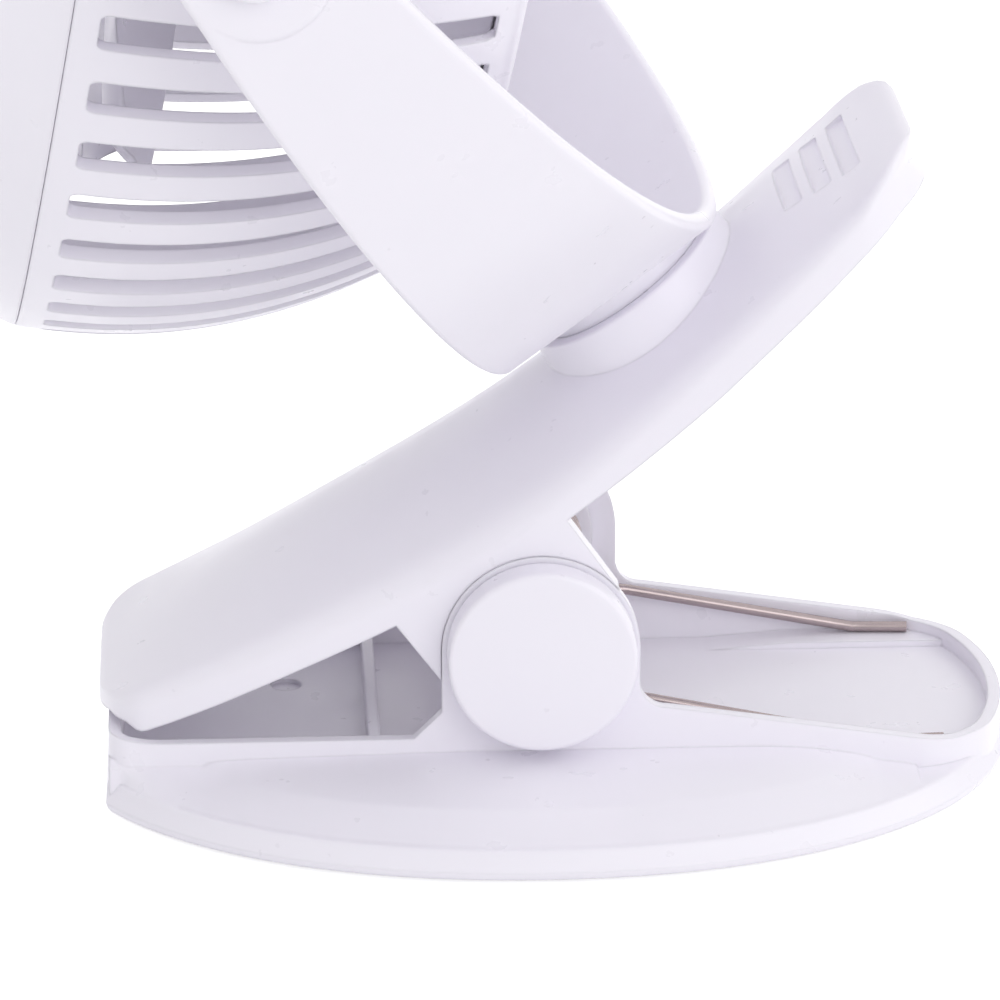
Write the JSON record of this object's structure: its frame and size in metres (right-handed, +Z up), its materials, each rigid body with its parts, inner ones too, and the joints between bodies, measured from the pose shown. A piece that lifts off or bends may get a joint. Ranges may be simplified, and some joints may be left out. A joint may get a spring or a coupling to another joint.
{
  "type": "clip-on desk fan",
  "caption": "Small round fan that tilts in a U-shaped yoke, which swivels on the upper jaw of a spring clip with an oval base.",
  "frame": {"origin": "centre of the base, under the clip hinge, on the underside of the foot pad", "axes": "+Z up; +X towards the clip's handle, away from the side the fan faces; Y along the hinge"},
  "size_m": [0.1238, 0.1538, 0.1771],
  "materials": {
    "white_abs": "smooth moulded, low gloss",
    "grey_rubber": "matte",
    "spring_steel": "bright nickel-plated wire",
    "plain_steel": "zinc-plated",
    "motor_steel": "drawn can",
    "board": "solder mask",
    "cell_wrap": "shrink film",
    "black_plastic": "moulded",
    "socket_steel": "nickel-plated",
    "clear_plastic": "clear"
  },
  "bodies": {
    "base": {"base_shell": "white_abs", "foot_pad": "grey_rubber", "hinge_pin": "plain_steel", "hinge_cap_near": "white_abs", "hinge_cap_far": "white_abs", "hinge_sleeve": "white_abs", "jaw_spring_near": "spring_steel", "jaw_spring_far": "spring_steel"},
    "jaw": {"upper_jaw": "white_abs"},
    "arm": {"yoke": "white_abs", "swivel_washer": "plain_steel", "swivel_screw": "plain_steel", "tilt_cap_near": "white_abs", "tilt_cap_far": "white_abs"},
    "head": {"rear_shell": "white_abs", "front_ring": "white_abs", "front_grille": "white_abs", "motor": "motor_steel", "battery_pack": "cell_wrap", "circuit_board": "board", "tact_switch": "black_plastic", "charging_socket": "socket_steel", "back_cover": "white_abs", "led_window": "clear_plastic", "cover_screw_1": "plain_steel", "cover_screw_2": "plain_steel", "cover_screw_3": "plain_steel", "tilt_pin_near": "plain_steel", "tilt_pin_far": "plain_steel"},
    "fan": {"impeller": "white_abs", "motor_shaft": "plain_steel"},
    "button": {"mode_button": "white_abs"}
  },
  "joints": [
    {"name": "jaw_hinge", "type": "hinge", "parent": "base", "child": "jaw", "pos_m": [0, 0, 0.0189], "axis": [0, 1, 0], "range_deg": [0, 56], "stiffness_Nm_per_rad": 0.45, "springref_deg": -68.75, "deforming": ["jaw_spring_near", "jaw_spring_far"]},
    {"name": "swivel", "type": "hinge", "parent": "jaw", "child": "arm", "pos_m": [0.0093, 0, 0.0586], "axis": [-0.6004, 0, 0.7997], "continuous": true},
    {"name": "head_tilt", "type": "hinge", "parent": "arm", "child": "head", "pos_m": [-0.03171, 0, 0.11322], "axis": [0, 1, 0], "continuous": true},
    {"name": "fan_spin", "type": "hinge", "parent": "head", "child": "fan", "pos_m": [-0.03171, 0, 0.11322], "axis": [-0.9839, 0, 0.1788], "continuous": true},
    {"name": "button_press", "type": "slide", "parent": "head", "child": "button", "axis": [-0.9839, 0, 0.1788], "range_m": [0, 0.0006], "stiffness_N_per_m": 600, "springref_m": -0.0005}
  ]
}
